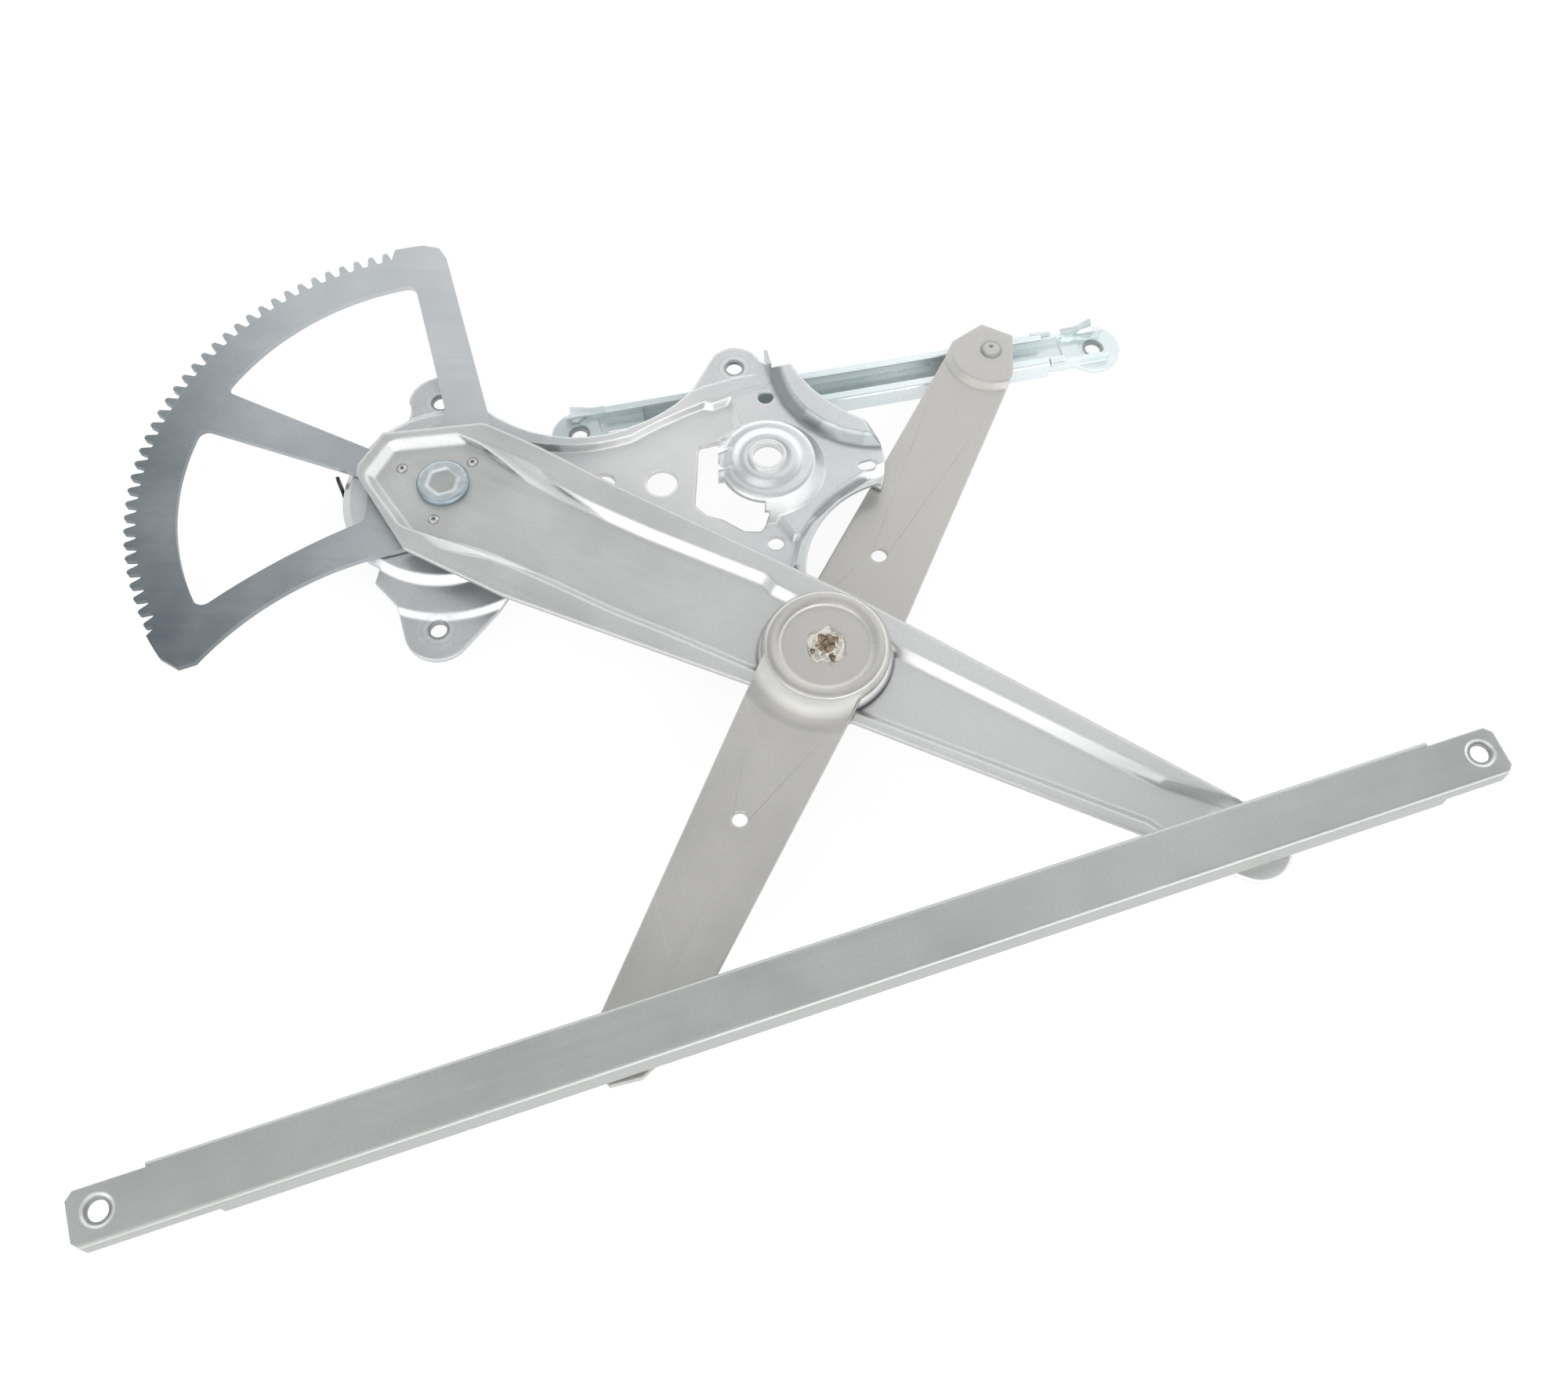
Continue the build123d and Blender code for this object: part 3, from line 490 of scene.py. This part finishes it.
# Sheared and folded edges of sheet are never sharp, so most nodes get a small round on their
# edges, in millimetres. The two pressed nodes are rounded by their materials alone.
EDGE_ROUND = 0.25
WIDER_ROUNDS = {
    "lower_equalizer_arm": 0.45,
    "upper_equalizer_arm": 0.45,
    "glass_channel": 0.35,
    "guide_rail": 0.35,
}
ROUNDED_ANGLE = math.radians(24)
PRESSED_NODES = ("base_plate", "lift_arm")
PRESSED_FOLD = math.radians(20)
SKIN_FOLD = math.radians(50)
WELD_METRES = 0.000004


def split_folds(item, angle):
    """Shades folds sharper than an angle as creases."""
    split = item.modifiers.new("folds", "EDGE_SPLIT")
    split.split_angle = angle


for name, item in nodes.items():
    for slot in item.material_slots:
        slot.material = finishes[name]
    weld = item.modifiers.new("joined", "WELD")
    weld.merge_threshold = WELD_METRES
    if name in PRESSED_NODES:
        split_folds(item, PRESSED_FOLD)
        continue
    rounding = item.modifiers.new("edge", "BEVEL")
    rounding.width = WIDER_ROUNDS.get(name, EDGE_ROUND) / MM_PER_METRE
    rounding.segments = 2
    rounding.limit_method = "ANGLE"
    rounding.angle_limit = ROUNDED_ANGLE
    rounding.use_clamp_overlap = True
    rounding.miter_outer = "MITER_ARC"
    normals = item.modifiers.new("normals", "WEIGHTED_NORMAL")
    normals.mode = "FACE_AREA"
    normals.weight = 50
    normals.keep_sharp = False


def piece(name, points, faces, material, body, smooth=True):
    """Mesh from points in millimetres about the main pivot, that rides on a body."""
    mesh = bpy.data.meshes.new(name)
    mesh.from_pydata([tuple(row(*place)) for place in points], [], faces)
    mesh.update()
    shape = bmesh.new()
    shape.from_mesh(mesh)
    bmesh.ops.recalc_face_normals(shape, faces=shape.faces)
    shape.to_mesh(mesh)
    shape.free()
    for face in mesh.polygons:
        face.use_smooth = smooth
    item = bpy.data.objects.new(name, mesh)
    bpy.context.scene.collection.objects.link(item)
    mesh.materials.append(material)
    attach(item, body)
    return item


def skin(name, rows, thickness, material, body):
    """Closed sheet, its upper side through rows of places, its lower side a thickness below."""
    count = len(rows[0])
    upper = [place for line in rows for place in line]
    lower = [(x, y, z - thickness) for x, y, z in upper]
    size = len(upper)
    faces = []
    for i in range(len(rows) - 1):
        for j in range(count - 1):
            corner = i * count + j
            quad = (corner, corner + 1, corner + count + 1, corner + count)
            faces.append(quad)
            faces.append(tuple(index + size for index in reversed(quad)))
    last = (len(rows) - 1) * count
    border = list(range(count))
    border += [i * count + count - 1 for i in range(1, len(rows))]
    border += [last + j for j in range(count - 2, -1, -1)]
    border += [i * count for i in range(len(rows) - 2, 0, -1)]
    for first, second in zip(border, border[1:] + border[:1]):
        faces.append((second, first, first + size, second + size))
    split_folds(piece(name, upper + lower, faces, material, body), SKIN_FOLD)


def pad(name, corners, low_level, high_level, material, body, width=0.25):
    """Flat piece over a polygon with broken edges."""
    size = len(corners)
    points = [(x, y, low_level) for x, y in corners] + [(x, y, high_level) for x, y in corners]
    faces = [tuple(reversed(range(size))), tuple(range(size, 2 * size))]
    for index in range(size):
        following = (index + 1) % size
        faces.append((index, following, following + size, index + size))
    item = piece(name, points, faces, material, body, smooth=False)
    edge = item.modifiers.new("edge", "BEVEL")
    edge.width = width / MM_PER_METRE
    edge.segments = 2


def collar(name, centre, profile, material, body):
    """Closed ring turned about an upright axis from a profile of radii and heights."""
    spokes = 72
    points = []
    for radius, height in profile:
        for spoke in range(spokes):
            angle = 2 * math.pi * spoke / spokes
            x = centre[0] + radius * math.cos(angle)
            y = centre[1] + radius * math.sin(angle)
            points.append((x, y, height))
    faces = []
    for ring in range(len(profile)):
        start = ring * spokes
        following = (ring + 1) % len(profile) * spokes
        for spoke in range(spokes):
            turn = (spoke + 1) % spokes
            faces.append((start + spoke, start + turn, following + turn, following + spoke))
    split_folds(piece(name, points, faces, material, body), SKIN_FOLD)


def turned(start, angle, forward, side, height):
    """Place measured forward along a direction in the plane, to its left and up."""
    c, s = math.cos(angle), math.sin(angle)
    return (start[0] + forward * c - side * s, start[1] + forward * s + side * c, height)


def rail_point(along, across, up):
    """Place measured along, across and above the guide rail's upper edge, from the upper roller."""
    return turned(UPPER_END, RAIL_TURN, along, across, RAIL_TOP + up)


def smooth_step(t):
    """Rises from 0 to 1 with level ends."""
    t = max(0.0, min(1.0, t))
    return t * t * (3 - 2 * t)


# The lower equalizer half swells up to its centre disc in a broad soft shoulder.
SHOULDER_START = 22.5
SHOULDER_LENGTH = 12.5
SHOULDER_RISE = DISC_TOP - LOWER_TOP - 0.12
shoulder = []
for step in range(13):
    t = step / 12
    reach = SHOULDER_START + SHOULDER_LENGTH * t
    narrow = 20.3 - 0.067 * reach
    span = narrow + 20.0 - 0.012 * reach
    height = LOWER_TOP + 0.04 + SHOULDER_RISE * (1 - smooth_step((t - 0.1) / 0.9))
    line = []
    for count in range(25):
        side = -narrow + span * count / 24
        forward = math.sqrt(reach**2 - side**2)
        line.append(turned(CENTRE, math.pi + FOLD, forward, side, height))
    shoulder.append(line)
skin("equalizer_shoulder", shoulder, 0.2, equalizer_skin, "equalizer")

# Flared guides at the far side of both rail brackets. Each line of the profile gives a point's
# places across and above the rail, its spread and lift at the flared end and its draw at the waist.
GUIDE_PROFILE = (
    (5.3, -7.7, -0.3, 0.0, 1.0),
    (5.4, -5.4, -0.2, 0.0, 1.0),
    (5.5, -3.2, 0.0, 0.0, 1.0),
    (5.9, -1.3, 0.0, 0.0, 0.5),
    (6.9, -0.9, 0.6, 0.4, 0.0),
    (8.2, -0.7, 1.3, 0.9, 0.0),
    (8.6, -0.5, 1.5, 1.0, 0.0),
)
for side, start, reach, top in (("right", 33.0, 13.5, 1.7), ("left", -161.0, -16.0, 0.7)):
    rows = []
    for step in range(13):
        t = step / 12
        flare = smooth_step((t - 0.35) / 0.65)
        waist = 0.5 * math.sin(math.pi * min(1.0, t / 0.6)) ** 2
        along = start + reach * t
        rows.append(
            [
                rail_point(along, across + spread * flare - draw * waist, up + lift * top * flare)
                for across, up, spread, lift, draw in GUIDE_PROFILE
            ]
        )
    skin(f"rail_guide_{side}", rows, 0.35, rail_skin, "guide_rail")

# Crimped tabs that hold the right bracket in the rail.
for name, (left, right), (near, far), (low, high) in (
    ("rail_crimp_far", (19.5, 28.5), (6.6, 9.0), (-1.4, 0.35)),
    ("rail_crimp_near", (24.4, 31.0), (-8.9, -5.2), (-2.4, -0.1)),
):
    outline = ((left, near), (right, near), (right, far), (left, far))
    corners = [rail_point(along, across, 0)[:2] for along, across in outline]
    pad(name, corners, RAIL_TOP + low, RAIL_TOP + high, rail_skin, "guide_rail", width=0.5)

# Rounded bead round the centre disc.
BEAD_INNER = 17.3
bead = []
for step in range(9):
    rise = 0.5 * math.sin(math.pi * step / 9) ** 0.8
    bead.append((BEAD_INNER + 0.6 * step, DISC_TOP + 0.02 + rise))
bead += [(22.5, DISC_TOP - 0.1), (22.9, DISC_TOP - 0.7), (23.1, DISC_TOP - 1.2)]
bead += [(22.0, DISC_TOP - 1.2), (21.0, DISC_TOP - 0.15), (BEAD_INNER, DISC_TOP - 0.15)]
collar("disc_bead", CENTRE, bead, equalizer_skin, "equalizer")

# Soft steps pressed round the motor's pilot bore.
hub_steps = [(7.7, 14.85), (8.5, 15.05), (9.6, 15.12), (10.8, 15.0), (11.8, 14.7), (12.6, 14.3)]
hub_steps += [(13.5, 13.86), (14.4, 13.58), (15.2, 13.5), (16.2, 13.54), (17.0, 13.45)]
hub_steps += [(17.7, 13.26), (18.3, 13.04), (18.3, 12.8), (13.2, 12.8), (11.0, 14.6), (7.7, 14.6)]
collar("hub_steps", (HUB_X, HUB_Y), hub_steps, plate_skin, "base")

# Upright stop on the base plate's right ear.
stop_outline = [(139.2, 15.6), (140.8, 15.4), (141.4, 22.6), (139.9, 22.8)]
pad("ear_stop", stop_outline, 4.2, 11.6, plate_skin, "base")

# Blunt tongue of the bridge over the sector, with its two pressed ribs.
RIB_MIDDLES = (0.27, 0.72)
RIB_WIDTH = 0.12
tongue = []
for step in range(15):
    s = step / 14
    line = []
    for count in range(31):
        t = count / 30
        x = (107.6 - 5.4 * t) * (1 - s) + (117.0 - 1.5 * t) * s
        y = (-16.6 - 17.0 * t) * (1 - s) + (-14.8 - 22.0 * t) * s
        ribs = sum(math.exp(-(((t - middle) / RIB_WIDTH) ** 2)) for middle in RIB_MIDDLES)
        rise = 1.4 * smooth_step(s * 1.4)
        height = 12.0 + rise + 1.1 * ribs * (1 - smooth_step((s - 0.25) / 0.5))
        line.append((x, y, height))
    tongue.append(line)
skin("bridge_tongue", tongue, 0.7, plate_skin, "base")

# Weld residue on the centre pivot, in low uneven lumps.
residue, tree, shader = new_material("weld_residue")
place = tree.nodes.new("ShaderNodeTexCoord").outputs["Object"]
patches = noise(tree, place, 620.0, roughness=0.65)
burnt, flaked = (0.07, 0.045, 0.03), (0.30, 0.22, 0.16)
brown = mix_colour(tree, ramp(tree, patches, 0.38, 0.62), burnt, flaked)
tree.links.new(brown, shader.inputs["Base Color"])
shader.inputs["Metallic"].default_value = 0.35
tree.links.new(ramp(tree, patches, 0.3, 0.7, 0.75, 0.4), shader.inputs["Roughness"])
LUMP_RINGS, LUMP_SPOKES = 8, 28
LUMP_STRETCH = 1.25
LUMP_FOOT = DISC_TOP - 1.1
for name, x, y, reach, tall in (
    ("weld_lump", 0.9, 0.6, 3.7, 1.3),
    ("weld_spot_low", 0.6, -5.6, 1.2, 0.7),
    ("weld_spot_left", -5.4, -0.6, 0.9, 0.5),
):
    points = [(CENTRE[0] + x, CENTRE[1] + y, DISC_TOP - 0.4 + tall)]
    for ring in range(1, LUMP_RINGS + 1):
        t = ring / LUMP_RINGS
        for spoke in range(LUMP_SPOKES):
            angle = 2 * math.pi * spoke / LUMP_SPOKES
            uneven = 1 + 0.16 * math.sin(3 * angle + 1.1) + 0.10 * math.sin(7 * angle + 0.4)
            rise = 1 + 0.35 * math.sin(5 * angle + 9 * t) * t
            points.append(
                (
                    CENTRE[0] + x + reach * t * uneven * math.cos(angle),
                    CENTRE[1] + y + LUMP_STRETCH * reach * t * uneven * math.sin(angle),
                    LUMP_FOOT + (tall + 0.7) * (1 - t * t) * rise,
                )
            )
    faces = [(0, 1 + spoke, 1 + (spoke + 1) % LUMP_SPOKES) for spoke in range(LUMP_SPOKES)]
    for ring in range(LUMP_RINGS - 1):
        for spoke in range(LUMP_SPOKES):
            first = 1 + ring * LUMP_SPOKES + spoke
            second = 1 + ring * LUMP_SPOKES + (spoke + 1) % LUMP_SPOKES
            faces.append((first, first + LUMP_SPOKES, second + LUMP_SPOKES, second))
    outer_ring = 1 + (LUMP_RINGS - 1) * LUMP_SPOKES
    faces.append(tuple(outer_ring + spoke for spoke in range(LUMP_SPOKES)))
    piece(name, points, faces, residue, "equalizer")


# Camera and glossy rays see the floor mostly as its own white glow, and a share of it as it is
# lit, which keeps the object's shadow.
FLOOR_REACH = 6
FLOOR_GLOW = 1.04
GLOW_SHARE = 0.85
floor_level = cad_box[0][2]
floor_corners = ((-1, -1), (1, -1), (1, 1), (-1, 1))
floor_points = [(FLOOR_REACH * x, FLOOR_REACH * y, floor_level) for x, y in floor_corners]
floor_mesh = bpy.data.meshes.new("floor")
floor_mesh.from_pydata(floor_points, [], [(0, 1, 2, 3)])
floor = bpy.data.objects.new("floor", floor_mesh)
bpy.context.scene.collection.objects.link(floor)
floor_material, tree, shader = new_material("floor")
shader.inputs["Base Color"].default_value = (0.92, 0.92, 0.93, 1)
shader.inputs["Roughness"].default_value = 0.9
glow = tree.nodes.new("ShaderNodeEmission")
glow.inputs["Color"].default_value = (1, 1, 1, 1)
glow.inputs["Strength"].default_value = FLOOR_GLOW
path = tree.nodes.new("ShaderNodeLightPath")
seen = maths(tree, "MAXIMUM", path.outputs["Is Camera Ray"], path.outputs["Is Glossy Ray"])
share = maths(tree, "MULTIPLY", seen, GLOW_SHARE)
blend = tree.nodes.new("ShaderNodeMixShader")
tree.links.new(share, blend.inputs["Fac"])
tree.links.new(shader.outputs["BSDF"], blend.inputs[1])
tree.links.new(glow.outputs["Emission"], blend.inputs[2])
out = next(n for n in tree.nodes if n.type == "OUTPUT_MATERIAL")
tree.links.new(blend.outputs["Shader"], out.inputs["Surface"])
floor.data.materials.append(floor_material)

# Studio sky: dim on high, bright low down, a blue-grey card low at the left, a bright one where
# the left meets the front, and a soft patch overhead.
HIGH_TONE = (0.60, 0.61, 0.62)
LOW_TONE = (2.4, 2.41, 2.42)
LEFT_CARD = (0.62, 0.69, 0.71)
FRONT_CARD = (3.6, 3.6, 3.6)
OVERHEAD_PATCH = (1.9, 1.9, 1.9)
OVERHEAD_DIRECTION = (-0.30, -0.16, 0.94)
SKY_STRENGTH = 0.80
world = bpy.data.worlds.new("studio")
bpy.context.scene.world = world
world.use_nodes = True
tree = world.node_tree
background = tree.nodes["Background"]
outward = tree.nodes.new("ShaderNodeTexCoord").outputs["Generated"]
direction = tree.nodes.new("ShaderNodeSeparateXYZ")
tree.links.new(outward, direction.inputs["Vector"])
low_light = ramp(tree, direction.outputs["Z"], 0.42, 0.80, 1.0, 0.0)
left_side = ramp(tree, direction.outputs["X"], -0.75, -0.35, 1.0, 0.0)
front = ramp(tree, direction.outputs["Y"], -0.30, 0.02, 1.0, 0.0)
left_low = maths(tree, "MULTIPLY", left_side, low_light)
overhead = tree.nodes.new("ShaderNodeVectorMath")
overhead.operation = "DOT_PRODUCT"
overhead.inputs[1].default_value = Vector(OVERHEAD_DIRECTION).normalized()
tree.links.new(outward, overhead.inputs[0])
above = ramp(tree, overhead.outputs["Value"], 0.90, 0.985)
sky = mix_colour(tree, low_light, HIGH_TONE, LOW_TONE)
sky = mix_colour(tree, maths(tree, "MULTIPLY", left_low, 0.7), sky, LEFT_CARD)
sky = mix_colour(tree, maths(tree, "MULTIPLY", left_low, front), sky, FRONT_CARD)
sky = mix_colour(tree, above, sky, OVERHEAD_PATCH)
tree.links.new(sky, background.inputs["Color"])
background.inputs["Strength"].default_value = SKY_STRENGTH


def softbox(name, place, target, width, height, power):
    """Rectangular area lamp that faces a target."""
    lamp = bpy.data.lights.new(name, "AREA")
    lamp.shape = "RECTANGLE"
    lamp.size = width
    lamp.size_y = height
    lamp.energy = power
    item = bpy.data.objects.new(name, lamp)
    bpy.context.scene.collection.objects.link(item)
    item.location = place
    item.rotation_euler = (Vector(target) - Vector(place)).to_track_quat("-Z", "Y").to_euler()


LAMP_TARGET = (0, -0.1, 0)
softbox("front_light", (0.2, -1.4, 0.9), LAMP_TARGET, width=1.4, height=0.8, power=6)
softbox("top_light", (0.7, 0.8, 1.8), LAMP_TARGET, width=1.0, height=1.0, power=2.4)

# The camera is the one fitted to the photograph.
SENSOR_MM = 36.0
LENS_MM = 38.28288
CAMERA_MATRIX = Matrix(
    (
        (0.9463705, 0.287228, -0.1479286, -0.1177468),
        (-0.3230761, 0.8443867, -0.4273559, -0.361099),
        (0.0021603, 0.4522292, 0.8918991, 0.5443049),
        (0, 0, 0, 1),
    )
)
camera_data = bpy.data.cameras.new("camera")
camera_data.sensor_fit = "HORIZONTAL"
camera_data.sensor_width = SENSOR_MM
camera_data.lens = LENS_MM
camera_data.clip_start = 0.01
camera = bpy.data.objects.new("camera", camera_data)
bpy.context.scene.collection.objects.link(camera)
camera.matrix_world = CAMERA_MATRIX
bpy.context.scene.camera = camera
bpy.context.scene.view_settings.view_transform = "Standard"
